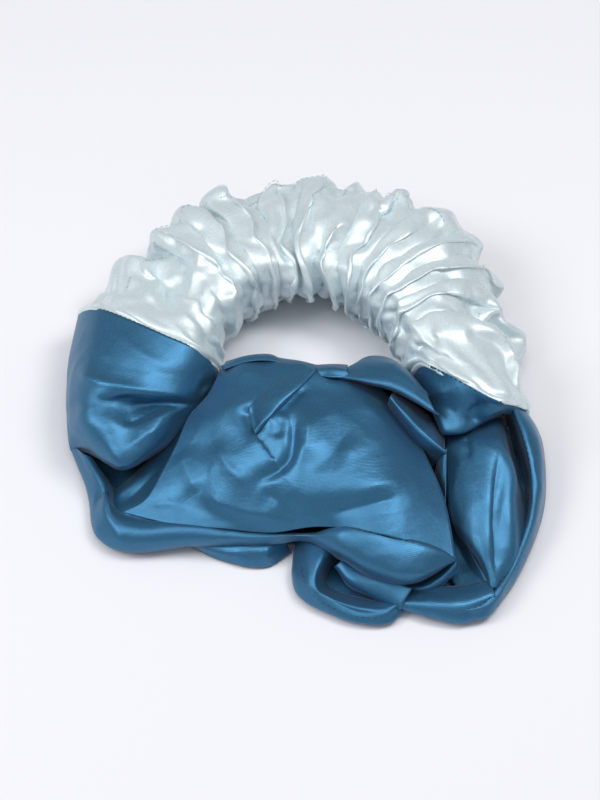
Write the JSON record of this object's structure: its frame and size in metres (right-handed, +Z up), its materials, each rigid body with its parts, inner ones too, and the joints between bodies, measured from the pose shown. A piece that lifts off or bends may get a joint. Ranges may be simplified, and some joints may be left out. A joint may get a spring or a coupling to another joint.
{
  "type": "scrunchie",
  "caption": "Two-tone satin hair scrunchie: a gathered elastic back tube sewn at both ends to wide loose front loops hooked through each other as a knot.",
  "frame": {"origin": "centre of the ring at table level, on the line near which the blue front is sewn to the pale back", "axes": "+Y from the knotted front to the gathered back, +X to the wearer-facing right, +Z up from the table, along the ring's axis"},
  "size_m": [0.1944, 0.1904, 0.04],
  "materials": {
    "pale_satin": "glossy satin weave",
    "blue_satin": "glossy satin weave",
    "elastic": "ribbed woven elastic",
    "pale_thread": "spun polyester thread",
    "blue_thread": "spun polyester thread"
  },
  "bodies": {
    "front": {"front_loop_left": "blue_satin", "front_loop_right": "blue_satin", "left_loop_seam_thread": "blue_thread", "right_loop_seam_thread": "blue_thread", "left_joint_seam_thread": "blue_thread", "right_joint_seam_thread": "blue_thread"},
    "back": {"back_cover": "pale_satin", "back_cover_seam_thread": "pale_thread", "elastic_band": "elastic", "elastic_tack_left": "pale_thread", "elastic_tack_right": "pale_thread"}
  },
  "joints": [
    {"name": "elastic_stretch", "type": "slide", "parent": "front", "child": "back", "axis": [0, 1, 0], "range_m": [0, 0.04], "stiffness_N_per_m": 80}
  ]
}
